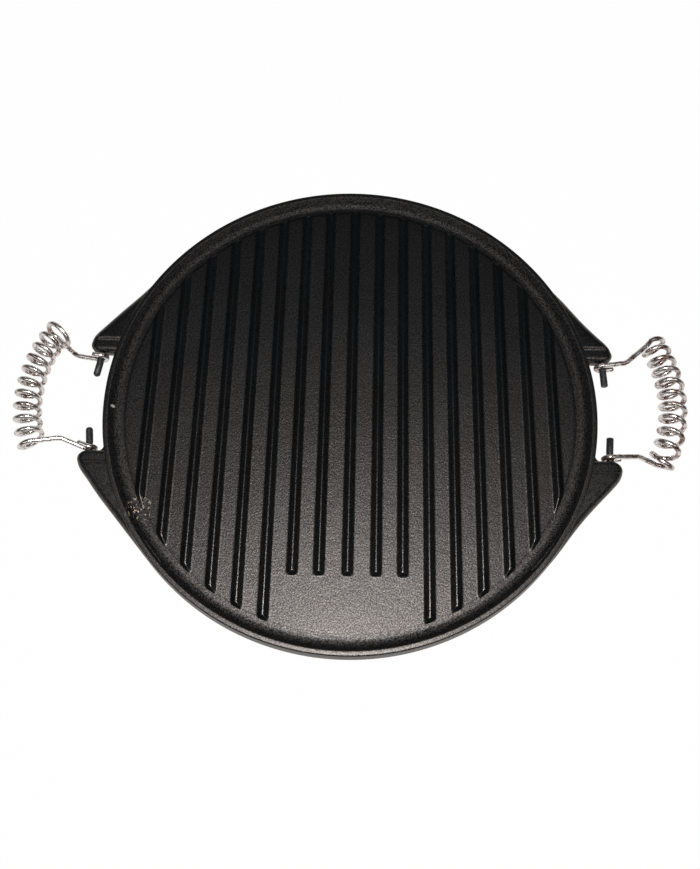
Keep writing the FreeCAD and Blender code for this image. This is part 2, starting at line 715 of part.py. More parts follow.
HALF_TURN_Y = FreeCAD.Rotation(Vector(0, 1, 0), 180)
PIN_TURNS = {
    "left_rear_pin": HALF_TURN_Y,
    "left_front_pin": FreeCAD.Rotation(Vector(0, 0, 1), 180),
    "right_rear_pin": FreeCAD.Rotation(),
    "right_front_pin": FreeCAD.Rotation(Vector(1, 0, 0), 180),
}
HANDLE_TURNS = {"left": HALF_TURN_Y, "right": FreeCAD.Rotation()}

nodes = [make_plate()]
nodes += [make_pin(name, turn) for name, turn in PIN_TURNS.items()]
nodes += [make_handle(side) for side in HANDLE_TURNS]
doc.recompute()

for item in doc.Objects:
    if "Invalid" in item.State or "Error" in item.State:
        raise RuntimeError("%s did not compute: %s" % (item.Name, item.State))
for node in nodes:
    shape = node.Shape
    if shape.isNull() or not shape.isValid() or len(shape.Solids) != 1:
        raise RuntimeError("%s is not one valid solid" % node.Label)
for node in nodes:
    node.Shape.exportStep("parts/%s.step" % node.Label)
    print("%s: %.1f mm3" % (node.Label, node.Shape.Volume))
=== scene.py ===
"""Dresses the griddle: a fine casting, four studs and two coiled-wire grips, on a white table.

Sizes are in millimetres until a mesh is made. The table, the lamps, the camera, and the noise and
bumps of the finishes are in metres. +Z is up, the ribs run along Y, and the rear is +Y.
"""
import math

import bmesh
import bpy
import numpy as np
from mathutils import Matrix, Vector


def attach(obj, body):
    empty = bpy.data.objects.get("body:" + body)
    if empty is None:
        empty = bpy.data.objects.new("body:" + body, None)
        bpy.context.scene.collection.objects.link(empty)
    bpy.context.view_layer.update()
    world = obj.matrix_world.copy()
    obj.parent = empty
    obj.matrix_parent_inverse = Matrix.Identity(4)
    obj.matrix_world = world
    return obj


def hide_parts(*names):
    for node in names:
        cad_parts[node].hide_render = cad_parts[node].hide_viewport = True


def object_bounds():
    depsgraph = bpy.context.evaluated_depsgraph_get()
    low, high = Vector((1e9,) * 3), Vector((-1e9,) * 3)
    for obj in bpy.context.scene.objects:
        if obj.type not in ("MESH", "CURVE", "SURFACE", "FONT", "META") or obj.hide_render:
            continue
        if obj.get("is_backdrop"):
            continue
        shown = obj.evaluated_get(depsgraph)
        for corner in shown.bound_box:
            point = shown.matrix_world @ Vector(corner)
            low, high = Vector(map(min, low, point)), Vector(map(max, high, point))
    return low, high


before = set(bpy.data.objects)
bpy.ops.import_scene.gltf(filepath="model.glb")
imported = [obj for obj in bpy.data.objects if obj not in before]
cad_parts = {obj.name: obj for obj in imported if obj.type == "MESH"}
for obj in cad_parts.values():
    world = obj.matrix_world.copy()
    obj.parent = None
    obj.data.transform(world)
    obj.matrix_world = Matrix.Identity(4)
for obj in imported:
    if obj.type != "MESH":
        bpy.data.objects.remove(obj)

CAD_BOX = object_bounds()
MM = 0.001
# Margins: for telling two levels apart, for merging doubles and for dropping slivers
HAIR, WELD, SLIVER = 0.1, 0.01, 0.005
# Below these a turn counts as straight, in radians, and two headings count as the same
LEAST_TURN, LEAST_SPREAD = 1e-4, 1e-6
SHARP_EDGE = math.radians(50)
WHITE = (1, 1, 1, 1)

# The disc's section: the rim, the walls and the floor, and how they are rounded
DISC_RADIUS, RIM_TOP = 175.5, 20.0
MIDDLE = RIM_TOP / 2
RIM_OUTER, RIM_INNER, WALL_FOOT = 174.1, 170.6, 166.9
FIELD_TOP, GROOVE_FLOOR, UNDERSIDE = 14.0, 13.7, 8.0
RIM_OUTER_ROUND, RIM_INNER_ROUND, UNDER_ROUND, PARTING_ROUND = 1.1, 0.7, 2.4, 0.5
# The cove inside the rim, whose foot lies a little to the front
COVE_ROUND, COVE_WIDTH, COVE_SHIFT = 4.5, 10.0, 0.9
# Radii of the rings of points on the flat underside and floor, and the steps round the disc
UNDERSIDE_RINGS, FLOOR_RINGS, DISC_STEPS = (0, 40, 80, 120, 150), (150, 80, 0), 288

# The cooking face, seated in the disc
FIELD_RADIUS, FIELD_EDGE_RUN, FIELD_EDGE_HEIGHT, FIELD_SEAT = 161.0, 2.2, 0.02, 1.5
# The ribs: their section and ends, how they are spread, and the short ones in the middle
RIB_HEIGHT, RIB_HALF, RIB_CREST, RIB_END_RUN, RIB_FOOT_BLEND = 3.0, 3.7, 1.8, 3.4, 0.7
RIB_PITCH, MIDDLE_PITCH, SIDE_RIBS, RIB_SHIFT = 17.8, 19.0, 8, 0.8
SHORT_REACH, SHORT_RIBS = 122.0, 2
# The lines of the face: out from a rib's middle, in from the edge, and past a short rib's end
RIB_LINES = (0, 0.35, 0.7, 1.0, 1.3, 1.65, 2.05, 2.5, 2.9, 3.2, 3.45, 3.7, 4.0, 4.4, 5.2)
EDGE_LINES = (0.2, 0.45, 0.75, 1.1, 1.5, 1.9, 2.3, 2.7, 3.1, 3.5, 4.0, 4.6, 5.5, 7.5)
END_LINES = (-1.0, -0.4, 0, 0.35, 0.7, 1.1, 1.5, 1.9, 2.3, 2.7, 3.1, 3.5, 4.0, 4.8, 6.0)
# Beyond the last rib: where the lines start, the angle round the field where they end, and how many
OUTER_START, OUTER_END, OUTER_LINES = 6.5, 89.2, 16
# Between those groups: the lines at the front and the rear, the room that a short rib's end needs, and
# the least share of its reach that each line in from the edge keeps of the one before
FRONT_LINES, REAR_LINES, END_ROOM, NARROWEST = 5, 22, 4.0, 0.93

# The ears: how far they reach, where they end, and the web and boss that they are made of
EAR_REACH, EAR_FACE, EAR_TANGENT = 191.3, 37.8, math.radians(41.4)
EAR_CORNER, EAR_INNER, EAR_SHOULDER = 20.0, 171.0, 6.0
WEB_HALF, WEB_ROUND, BOSS_HALF, BOSS_ROUND = 7.5, 7.0, 6.0, 5.6
STEP_START, STEP_RUN = 45.8, 2.6
FACE_ROUND, FACE_CORNER = 3.2, 7.5
# Rows of points along an ear: the web, the step as shares of its run, and the boss
WEB_ROWS = (116.0, 112, 106, 99, 92, 85, 78, 71, 65, 60, 57, 55, 53.5, 52, 50.8, 49.8, 49.0)
STEP_ROWS = (1.1, 1, 0.85, 0.7, 0.5, 0.3, 0.15, 0, -0.15)
BOSS_ROWS = (44.5, 43.2, 42.2, 41.4)
# Degrees of a quarter turn where the end face's rounding and the long edges' have points
FACE_ANGLES, SIDE_ANGLES = range(0, 91, 15), range(0, 91, 10)
# Where each ear's side runs in: how far, round which place along it, and over what length each way
EARS = {
    ("left", "rear"): (0.6, 84, 14),
    ("right", "rear"): (2.2, 64, 26),
    ("left", "front"): (1.4, 53, 18),
    ("right", "front"): (2.0, 80, 28),
}
# The hollow fillet where an ear's end face meets the disc
ROOT_ROUND, ROOT_LAP, ROOT_DEPTH, ROOT_BEVEL, ROOT_STEPS = 4.0, 1.5, 14.0, 0.5, 8

# The studs: how far out and how deep they are set, where they bend and where they end
HINGE_OUT = 183.4
STUD_RADIUS, STUD_SET, STUD_BEND_AT, STUD_BEND, STUD_TIP = 2.5, 5.0, 31.0, 12.0, 19.8
STUD_BEND_STEPS, STUD_SIDES, STUD_TIP_LEAST = 6, 28, 0.03
DOME_SHARES = (1, 0.8, 0.6, 0.42, 0.26, 0.14, 0.05, 0)
# How each stud's free end leans out, in degrees, and how its tip is finished
STUDS = {
    "left_rear": {"lean": 8.5, "tip": "chamfer", "size": 1.2},
    "left_front": {"lean": 8.2, "tip": "dome", "size": 2.2},
    "right_rear": {"lean": 1.7, "tip": "dome", "size": 0.8},
    "right_front": {"lean": 6.0, "tip": "chamfer", "size": 0.3},
}

# The wire of the grips, its hooks round the studs and its coil on an arc
WIRE_RADIUS, WIRE_BEVEL, WIRE_SIDES, HOOK_CLEARANCE = 1.8, 0.4, 20, 0.3
HOOK_RADIUS = STUD_RADIUS + HOOK_CLEARANCE + WIRE_RADIUS
COIL_RADIUS, COIL_TURNS, ARC_RADIUS, ARC_SETBACK = 8.2, 10, 94.8, 46.6
LEG_BEND, LEG_STRAIGHT_SHARE = 8.0, 0.7
# How closely the wire's points lie: on arcs by length and by degrees, on straight runs, round the coil
ARC_SPACING, ARC_STEP, STRAIGHT_SPACING, COIL_STEP = 0.6, 9, 1.5, math.radians(7.5)
# Where along the coil the turns' leans and sways are given
COIL_SHARES = (0, 0.33, 0.67, 1)
# Each grip, in degrees and from rear to front: where its arc starts and ends, how far its middle turns
# crowd, where its coil starts, how its turns lean over, how much more the end turns do, and how they
# swing round. In millimetres: how far its arc is shifted along, how far the first turn opens, and for
# each leg its gap to the ear, its tail and how far that drifts along, and its bend out, along and up.
GRIPS = {
    "left": {
        "shift": 4.2, "angles": (33.5, -23.7), "crowd": 1.0, "start": 25, "opening": 2.8,
        "leans": (2.4, 0.85, 0.45, -0.1), "tips": (0, 0), "sways": (-0.9, -0.3, 0.0, -0.7),
        "rear": {"gap": 1.4, "tail": 4.8, "drift": 0.5, "bend": (19.7, 3.6, -5.5)},
        "front": {"gap": 1.0, "tail": 6.6, "drift": 2.5, "bend": (20.3, 6.2, 2.5)},
    },
    "right": {
        "shift": 10.7, "angles": (27.9, -32.3), "crowd": 1.9, "start": 0, "opening": 0,
        "leans": (-1.0, -0.95, -0.65, 0.2), "tips": (1.0, 2.4), "sways": (-0.6, -0.2, -0.1, 0.8),
        "rear": {"gap": 1.4, "tail": 9.2, "drift": 1.4, "bend": (15.6, 2.0, -5.5)},
        "front": {"gap": 1.2, "tail": 8.9, "drift": 1.4, "bend": (20.5, 2.2, 0.5)},
    },
}

# Colours that vary between two, colours of marks, and a brown painted into the plating as a reflection
SEASONING = ((0.0007, 0.0016, 0.0024), (0.0012, 0.0024, 0.0034))
PLATING = ((0.58, 0.53, 0.50), (0.78, 0.74, 0.72))
BLACKING = ((0.030, 0.029, 0.030), (0.085, 0.08, 0.078))
RUST, BARE_IRON, PAINTED_BROWN_REFLECTION = (0.58, 0.47, 0.33, 1), (0.55, 0.53, 0.52, 1), (0.22, 0.13, 0.10, 1)
# Where the casting has a cluster of specks and a chip
SPECKS_PLACE, CHIP_PLACE = (-142.5, -79.5), (-168.2, -5.6)

# The table: its half width, and how much of it is plain white to the camera and in reflections
TABLE_REACH, TABLE_SHOWN, TABLE_REFLECTED = 6.0, 0.985, 0.85
TABLE_COLOUR, TABLE_ROUGHNESS = (0.6, 0.59, 0.58, 1), 0.9
# The room's light by the height of the way to it: level, low, middling and overhead
ROOM_TONES = (
    (0.0, (0.34, 0.325, 0.32)),
    (0.10, (0.12, 0.11, 0.105)),
    (0.20, (0.005, 0.004, 0.004)),
    (0.90, (0.005, 0.005, 0.005)),
    (0.985, (0.07, 0.075, 0.08)),
)
LAMPS = {
    "key": {"place": (0.002, -0.193, 0.85), "aim": (0, -0.02, 0), "size": (0.3, 0.3), "power": 8.8},
    "rear_panel": {"place": (0, 1.5, 0.42), "aim": (0, 0, 0), "size": (2.2, 0.4), "power": 3.0},
    "left_panel": {"place": (-0.62, -0.40, 0.8), "aim": (-0.2, 0, 0), "size": (0.5, 0.3), "power": 1.4},
    "right_panel": {"place": (0.62, -0.40, 0.8), "aim": (0.2, 0, 0), "size": (0.5, 0.3), "power": 1.4},
}
# The camera: where it is, how it is turned in radians, and its lens and sensor
CAMERA_PLACE = (0.003943, -0.213945, 0.55932)
CAMERA_TILT, CAMERA_YAW, CAMERA_ROLL = 0.3379, 0.0184, 0.0044
CAMERA_LENS, CAMERA_SENSOR, CAMERA_NEAREST, CAMERA_FURTHEST = 34.03, 36.0, 0.01, 50


class Socket:
    """A node's output, with arithmetic that adds Math nodes."""

    def __init__(self, maker, output):
        self.maker, self.output = maker, output

    def _math(self, operation, *values):
        return self.maker.node("ShaderNodeMath", {"operation": operation}, dict(enumerate(values)))

    def __add__(self, other):
        return self._math("ADD", self, other)

    def __mul__(self, other):
        return self._math("MULTIPLY", self, other)

    def __sub__(self, other):
        return self._math("SUBTRACT", self, other)

    def __rsub__(self, other):
        return self._math("SUBTRACT", other, self)

    def __truediv__(self, other):
        return self._math("DIVIDE", self, other)

    def __rtruediv__(self, other):
        return self._math("DIVIDE", other, self)

    def __pow__(self, other):
        return self._math("POWER", self, other)

    def __gt__(self, other):
        return self._math("GREATER_THAN", self, other)

    def __abs__(self):
        return self._math("ABSOLUTE", self)

    def __round__(self):
        return self._math("ROUND", self)

    __radd__ = __add__
    __rmul__ = __mul__

    def least(self, other):
        """The lesser of this and another."""
        return self._math("MINIMUM", self, other)

    def most(self, other):
        """The greater of this and another."""
        return self._math("MAXIMUM", self, other)

    def above(self, low, high):
        """Zero below one value, one above another, and smooth between."""
        settings = {"interpolation_type": "SMOOTHSTEP"}
        inputs = {"Value": self, "From Min": low, "From Max": high}
        return self.maker.node("ShaderNodeMapRange", settings, inputs)


class Graph:
    """A node tree, with one method for all of its nodes."""

    def __init__(self, tree):
        self.tree = tree

    def node(self, kind, settings=None, inputs=None, output=0):
        """Adds a node with its settings and its inputs, and returns one of its outputs."""
        made = self.tree.nodes.new(kind)
        for name, value in (settings or {}).items():
            if name == "stops":
                for place, (position, colour) in enumerate(value):
                    stops = made.color_ramp.elements
                    stop = stops[place] if place < len(stops) else stops.new(position)
                    stop.position, stop.color = position, (*colour, 1)
            else:
                setattr(made, name, value)
        for name, value in (inputs or {}).items():
            if isinstance(value, Socket):
                self.tree.links.new(value.output, made.inputs[name])
            else:
                made.inputs[name].default_value = value
        return Socket(self, made.outputs[output])

    def split(self, vector):
        """The parts of a vector along X, Y and Z."""
        across = self.node("ShaderNodeSeparateXYZ", {}, {"Vector": vector})
        return [Socket(self, output) for output in across.output.node.outputs]

    def close(self, surface, ending):
        """Links a shader to the node that ends the tree."""
        self.tree.links.new(surface.output, self.tree.nodes[ending].inputs["Surface"])


class Shaper(Graph):
    """A Geometry Nodes tree with named inputs, which ends in Realize Instances and Set Material."""

    def __init__(self, name, *sizes, counts=()):
        super().__init__(bpy.data.node_groups.new(name, "GeometryNodeTree"))
        kinds = {"Geometry": "Geometry", **dict.fromkeys(sizes, "Float"), **dict.fromkeys(counts, "Int")}
        kinds["Finish"] = "Material"
        new_socket = self.tree.interface.new_socket
        self.keys = {}
        for label, kind in kinds.items():
            socket = new_socket(label, in_out="INPUT", socket_type="NodeSocket" + kind)
            self.keys[label] = socket.identifier
        new_socket("Geometry", in_out="OUTPUT", socket_type="NodeSocketGeometry")
        entry = self.tree.nodes.new("NodeGroupInput")
        self.entries = {label: Socket(self, entry.outputs[label]) for label in self.keys}

    def end(self, geometry):
        """Shades, realizes and paints the geometry, and sends it out."""
        smooth = self.node("GeometryNodeSetShadeSmooth", {}, {"Geometry": geometry})
        real = self.node("GeometryNodeRealizeInstances", {}, {"Geometry": smooth})
        inputs = {"Geometry": real, "Material": self.entries["Finish"]}
        painted = self.node("GeometryNodeSetMaterial", {}, inputs)
        leaving = self.tree.nodes.new("NodeGroupOutput")
        self.tree.links.new(painted.output, leaving.inputs["Geometry"])

    def shape(self, name, data, **values):
        """Runs the tree on a curve or mesh, and returns the mesh that comes out."""
        holder = bpy.data.objects.new(name, data)
        bpy.context.scene.collection.objects.link(holder)
        modifier = holder.modifiers.new(name, "NODES")
        modifier.node_group = self.tree
        for label, value in values.items():
            modifier[self.keys[label.replace("_", " ")]] = value
        graph = bpy.context.evaluated_depsgraph_get()
        mesh = bpy.data.meshes.new_from_object(holder.evaluated_get(graph))
        holder.modifiers.remove(modifier)
        bpy.data.objects.remove(holder)
        mesh.name = name
        return mesh


class Finish(Graph):
    """A node material built round one Principled shader."""

    def __init__(self, name, **values):
        self.material = bpy.data.materials.new(name)
        self.material.use_nodes = True
        super().__init__(self.material.node_tree)
        self.shader = self.tree.nodes["Principled BSDF"]
        for socket, value in values.items():
            self.shader.inputs[socket.replace("_", " ")].default_value = value

    def place(self):
        """Object coordinates, in metres."""
        return self.node("ShaderNodeTexCoord", output="Object")

    def noise(self, spot, scale, detail, roughness=0.55):
        """Noise of a given scale, in cycles a metre."""
        inputs = {"Vector": spot, "Scale": scale, "Detail": detail, "Roughness": roughness}
        return self.node("ShaderNodeTexNoise", {}, inputs)

    def tint(self, factor, low, high):
        """A colour between two, by a factor."""
        return self.node("ShaderNodeValToRGB", {"stops": ((0.0, low), (1.0, high))}, {"Fac": factor})

    def mix(self, factor, first, second):
        """A mix of two colours."""
        inputs = {0: factor, 6: first, 7: second}
        return self.node("ShaderNodeMix", {"data_type": "RGBA"}, inputs, output=2)

    def bump(self, height, distance, strength, under=None):
        """Raises the surface by a height, over the bumps that it already has."""
        inputs = {"Height": height, "Distance": distance, "Strength": strength}
        if under:
            inputs["Normal"] = under
        return self.node("ShaderNodeBump", {}, inputs)

    def feed(self, **links):
        """Links outputs to the shader's sockets."""
        for socket, value in links.items():
            self.tree.links.new(value.output, self.shader.inputs[socket.replace("_", " ")])


def iron_finish():
    """Seasoned cast iron: dark, satin and finely grained, with a few rusty specks."""
    finish = Finish("seasoned_cast_iron", IOR=1.72, Specular_Tint=(1, 0.90, 0.84, 1))
    spot = finish.place()
    across, along, up = finish.split(spot)
    radius = (across ** 2 + along ** 2) ** 0.5
    grain = finish.noise(spot, 800, 2, 0.6)
    pebble = finish.noise(spot, 260, 3)
    cloud = finish.noise(spot, 24, 3)

    def past(distance, start, end):
        """Zero short of one size in millimetres and one past another."""
        return distance.above(start * MM, end * MM)

    def patch(place, inner, outer):
        """One near a place on the casting and zero away from it."""
        away = (across - place[0] * MM) ** 2 + (along - place[1] * MM) ** 2
        return 1 - away.above((inner * MM) ** 2, (outer * MM) ** 2)

    # rust in a few spots and in a cluster of specks, and a chip in the inner wall
    spots = finish.noise(spot, 150, 6, 0.75).above(0.70, 0.76) * finish.noise(spot, 9, 2).above(0.55, 0.68)
    specks = patch(SPECKS_PLACE, 1.0, 11.0) * finish.noise(spot, 450, 3, 0.7).above(0.58, 0.63)
    rust = spots.most(specks)
    chip = patch(CHIP_PLACE, 0.4, 1.4)
    seasoned = finish.tint(cloud.above(0.3, 0.7), *SEASONING)
    colour = finish.mix(chip, finish.mix(rust, seasoned, RUST), BARE_IRON)
    # the crests of the ribs are worn smooth, and the rim's top has less grain
    crest = FIELD_TOP + RIB_HEIGHT
    worn = past(up, crest - 0.8, crest - 0.2) * (1 - 0.88 * past(radius, FIELD_RADIUS, FIELD_RADIUS + 2))
    rim = past(radius, RIM_INNER - 1.6, RIM_INNER - 0.1) * past(up, crest - 0.5, crest + 1.5)
    # sooty pits between the grains hold the sheen back
    pits = finish.noise(spot, 1000, 2, 0.6).above(0.60, 0.42) * (1 - worn)
    # the cove inside the rim is rougher than the cooking face
    on_rim = past(radius, RIM_INNER, RIM_INNER + 0.8)
    cove = past(radius, FIELD_RADIUS + 1.5, FIELD_RADIUS + 4.5) * (1 - on_rim)
    rough = 0.30 + 0.14 * grain + 0.04 * cloud + 0.12 * rust.most(chip) + 0.28 * cove - 0.12 * worn
    waves = finish.bump(cloud, 0.0012, 0.30)
    pebbles = finish.bump(pebble, 0.0003, 0.38, waves)
    grains = finish.bump(grain * (1 - 0.6 * worn.most(rim)), 0.0002, 0.60, pebbles)
    finish.feed(Base_Color=colour, Roughness=rough, Metallic=0.6 * pits + 0.3 * cove, Normal=grains)
    return finish.material


def chrome_finish():
    """Bright plating on drawn wire, mottled with patches of painted brown reflection, more of them on the
    right grip.
    """
    finish = Finish("chromed_wire", Metallic=0.9)
    spot = finish.place()
    haze = finish.noise(spot, 350, 4, 0.6)
    right = finish.split(spot)[0] > 0
    # brown patches painted into the plating's colour, standing in for reflections of a warm brown room
    brown_reflection = (finish.noise(spot, 260, 3, 0.6) + right * 0.04).above(0.50, 0.66)
    plating = finish.tint(haze.above(0.3, 0.7), *PLATING)
    finish.feed(Base_Color=finish.mix(brown_reflection, plating, PAINTED_BROWN_REFLECTION), Roughness=0.18 + 0.10 * haze,
                Normal=finish.bump(haze, 0.0003, 0.15))
    return finish.material


def stud_finish():
    """Blackened steel, scuffed here and there."""
    finish = Finish("blackened_steel", Metallic=0.6)
    scuff = finish.noise(finish.place(), 700, 4)
    finish.feed(Base_Color=finish.tint(scuff.above(0.45, 0.75), *BLACKING), Roughness=0.38 + 0.2 * scuff,
                Normal=finish.bump(scuff, 0.0001, 0.5))
    return finish.material


def new_piece(name, mesh, material, body, slot, *nodes):
    """Puts a finished mesh in the scene as a piece that stands for CAD nodes."""
    piece = bpy.data.objects.new(name, mesh)
    bpy.context.scene.collection.objects.link(piece)
    mesh.materials.clear()
    mesh.materials.append(material)
    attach(piece, body)
    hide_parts(*nodes)


def grid_faces(rows, columns, closed_rows=False, closed_columns=False):
    """Quads between rows of points."""
    faces = []
    for row in range(rows if closed_rows else rows - 1):
        after = (row + 1) % rows
        for column in range(columns if closed_columns else columns - 1):
            beside = (column + 1) % columns
            faces.append((row * columns + column, row * columns + beside,
                          after * columns + beside, after * columns + column))
    return faces


def add_shell(target, points, faces):
    """Adds a closed shell to a bmesh, merges its doubles and points its faces outwards."""
    made = bmesh.new()
    corners = [made.verts.new(Vector(point) * MM) for point in points]
    for face in faces:
        made.faces.new([corners[index] for index in face])
    bmesh.ops.remove_doubles(made, verts=made.verts, dist=WELD * MM)
    bmesh.ops.dissolve_degenerate(made, edges=made.edges, dist=SLIVER * MM)
    bmesh.ops.recalc_face_normals(made, faces=made.faces)
    mesh = bpy.data.meshes.new("shell")
    made.to_mesh(mesh)
    made.free()
    target.from_mesh(mesh)
    bpy.data.meshes.remove(mesh)


def rounded(corners, steps=6):
    """A line through corners given as (across, up, radius), with each corner rounded."""
    line = []
    for place, (across, up, radius) in enumerate(corners):
        spot = Vector((across, up))
        if not radius:
            line.append(spot)
            continue
        before = (Vector(corners[place - 1][:2]) - spot).normalized()
        after = (Vector(corners[place + 1][:2]) - spot).normalized()
        half = before.angle(after) / 2
        centre = spot + (before + after).normalized() * radius / math.sin(half)
        touches = [spot + way * radius / math.tan(half) - centre for way in (before, after)]
        sweep = touches[0].angle_signed(touches[1])
        for step in range(steps + 1):
            line.append(centre + Matrix.Rotation(-sweep * step / steps, 2) @ touches[0])
    return line


def disc_section():
    """The disc's section, from the middle of its underside round the rim to the middle of its floor."""
    corners = [(ring, UNDERSIDE, 0) for ring in UNDERSIDE_RINGS]
    corners += [
        (WALL_FOOT, UNDERSIDE, UNDER_ROUND),
        (RIM_INNER, 0, RIM_INNER_ROUND),
        (RIM_OUTER, 0, RIM_INNER_ROUND),
        (DISC_RADIUS, MIDDLE, PARTING_ROUND),
        (RIM_OUTER, RIM_TOP, RIM_OUTER_ROUND),
        (RIM_INNER, RIM_TOP, RIM_INNER_ROUND),
        (WALL_FOOT, GROOVE_FLOOR, COVE_ROUND),
    ]
    corners += [(ring, GROOVE_FLOOR, 0) for ring in FLOOR_RINGS]
    return rounded(corners)


def add_disc(target):
    """The disc without its field: floor, groove, inner wall, rim, outer wall and underside."""
    section = disc_section()
    points = []
    for step in range(DISC_STEPS):
        angle = 2 * math.pi * step / DISC_STEPS
        for across, up in section:
            in_cove = WALL_FOOT - COVE_WIDTH < across < RIM_INNER + HAIR and up > GROOVE_FLOOR - HAIR
            shift = COVE_SHIFT * (RIM_TOP - up) / (RIM_TOP - GROOVE_FLOOR) if in_cove else 0
            points.append((across * math.cos(angle), across * math.sin(angle) - shift, up))
    add_shell(target, points, grid_faces(DISC_STEPS, len(section), closed_rows=True))


def rib_middles():
    """Where the ribs stand across the field, from left to right."""
    places = [MIDDLE_PITCH + RIB_PITCH * place for place in range(SIDE_RIBS)]
    return [RIB_SHIFT + place for place in sorted([0.0, *places, *(-place for place in places)])]


def ribbed_face():
    """Geometry Nodes that raise the ribs out of a flat cooking face."""
    shaper = Shaper("ribbed_face", "Field Radius", "Edge Run", "Edge Drop", "Rib Shift", "Rib Pitch",
                    "Middle Pitch", "Rib Height", "Rib Half Width", "Crest Radius", "Crest Touch",
                    "Flank Slope", "End Run", "Foot Blend", "Short Reach", "Short Half Width",
                    counts=("Side Ribs",))
    size = shaper.entries
    across, along, up = shaper.split(shaper.node("GeometryNodeInputPosition"))
    # how far each place is from the middle line of the nearest rib
    out = abs(across - size["Rib Shift"])
    past_first = out - size["Middle Pitch"]
    step = round(past_first / size["Rib Pitch"]).most(0).least(size["Side Ribs"] - 1)
    away = out.least(abs(past_first - step * size["Rib Pitch"]))
    # how far inside the ribs' ends it is, where the middle ones stop short at the front
    radius = (across ** 2 + along ** 2) ** 0.5
    front = along + size["Short Reach"] + (out > size["Short Half Width"])
    inside = (size["Field Radius"] - radius).least(front)
    beyond = (size["Rib Half Width"] - inside * (size["Rib Half Width"] / size["End Run"])).most(0)
    # two flanks and a round crest, which turn round the end too
    off = (away ** 4 + beyond ** 4) ** 0.25
    crest = (size["Crest Radius"] ** 2 - off.least(size["Crest Touch"]) ** 2) ** 0.5
    crest = crest + size["Rib Height"] - size["Crest Radius"]
    rib = crest.least((size["Rib Half Width"] - off) * size["Flank Slope"])
    blend = (size["Foot Blend"] - abs(rib)).most(0)
    height = rib.most(0) + blend * blend / (4 * size["Foot Blend"])
    edge = radius.above(size["Field Radius"] - size["Edge Run"], size["Field Radius"])
    lift = shaper.node("ShaderNodeCombineXYZ", {}, {"Z": height - edge * size["Edge Drop"]})
    top = up > (FIELD_TOP - HAIR) * MM
    inputs = {"Geometry": size["Geometry"], "Selection": top, "Offset": lift}
    shaper.end(shaper.node("GeometryNodeSetPosition", {}, inputs))
    return shaper


def face_lines():
    """Where the flat face has lines along the ribs, close together where the ribs will bend it."""
    middles = rib_middles()
    lines = {round(middle + side * away, 3) for middle in middles for away in RIB_LINES for side in (-1, 1)}
    for side, last in ((-1, middles[0]), (1, middles[-1])):
        start = math.degrees(math.asin((side * last + OUTER_START) / FIELD_RADIUS))
        for angle in np.linspace(start, OUTER_END, OUTER_LINES):
            lines.add(side * FIELD_RADIUS * math.sin(math.radians(angle)))
    return sorted(lines)


def line_stops(line):
    """The places along one line of the flat face, from its front edge to its rear edge."""
    edge = [math.sqrt(FIELD_RADIUS ** 2 - line ** 2)]
    for depth in EDGE_LINES:
        inner = max((FIELD_RADIUS - depth) ** 2 - line ** 2, 0)
        edge.append(max(math.sqrt(inner), edge[-1] * NARROWEST))
    rear, front = np.array(edge[::-1]), -np.array(edge)
    if front[-1] < -SHORT_REACH - END_ROOM:
        ends = np.array(END_LINES) - SHORT_REACH
    else:
        ends = np.linspace(front[-1], 0, len(END_LINES) + 2)[1:-1]
    before = np.linspace(front[-1], ends[0], FRONT_LINES)[1:-1]
    after = np.linspace(ends[-1], rear[0], REAR_LINES)[1:-1]
    return np.concatenate((front, before, ends, after, rear))


def flat_face():
    """A closed slab with the lines that the ribs need."""
    lines = face_lines()
    rows = [line_stops(line) for line in lines]
    count, length = len(rows), len(rows[0])
    top = [(line, along, FIELD_TOP) for line, row in zip(lines, rows) for along in row]
    border = [row * length for row in range(count)]
    border += [(count - 1) * length + column for column in range(1, length)]
    border += [row * length + length - 1 for row in range(count - 2, -1, -1)]
    border += list(range(length - 2, 0, -1))
    foot = [(*top[index][:2], GROOVE_FLOOR - FIELD_SEAT) for index in border]
    faces = grid_faces(count, length)
    first = count * length
    for place, here in enumerate(border):
        after = (place + 1) % len(border)
        faces.append((here, border[after], first + after, first + place))
    faces.append(tuple(range(first, first + len(border))))
    made = bmesh.new()
    add_shell(made, top + foot, faces)
    mesh = bpy.data.meshes.new("flat_face")
    made.to_mesh(mesh)
    made.free()
    return mesh


def make_face(material):
    """The cooking face with its ribs."""
    reach = math.hypot(RIB_HALF, RIB_HEIGHT - RIB_CREST)
    lean = math.acos(RIB_CREST / reach) - math.atan2(RIB_HEIGHT - RIB_CREST, RIB_HALF)
    return ribbed_face().shape(
        "cooking_face", flat_face(), Field_Radius=FIELD_RADIUS * MM, Edge_Run=FIELD_EDGE_RUN * MM,
        Edge_Drop=(FIELD_TOP - GROOVE_FLOOR - FIELD_EDGE_HEIGHT) * MM, Rib_Shift=RIB_SHIFT * MM,
        Rib_Pitch=RIB_PITCH * MM, Middle_Pitch=MIDDLE_PITCH * MM, Side_Ribs=SIDE_RIBS,
        Rib_Height=RIB_HEIGHT * MM, Rib_Half_Width=RIB_HALF * MM, Crest_Radius=RIB_CREST * MM,
        Crest_Touch=RIB_CREST * math.cos(lean) * MM, Flank_Slope=1 / math.tan(lean),
        End_Run=RIB_END_RUN * MM, Foot_Blend=RIB_FOOT_BLEND * MM, Short_Reach=SHORT_REACH * MM,
        Short_Half_Width=(MIDDLE_PITCH + (SHORT_RIBS - 0.5) * RIB_PITCH) * MM, Finish=material)


def smoothstep(value):
    """An even ease from zero to one."""
    value = min(max(value, 0), 1)
    return value * value * (3 - 2 * value)


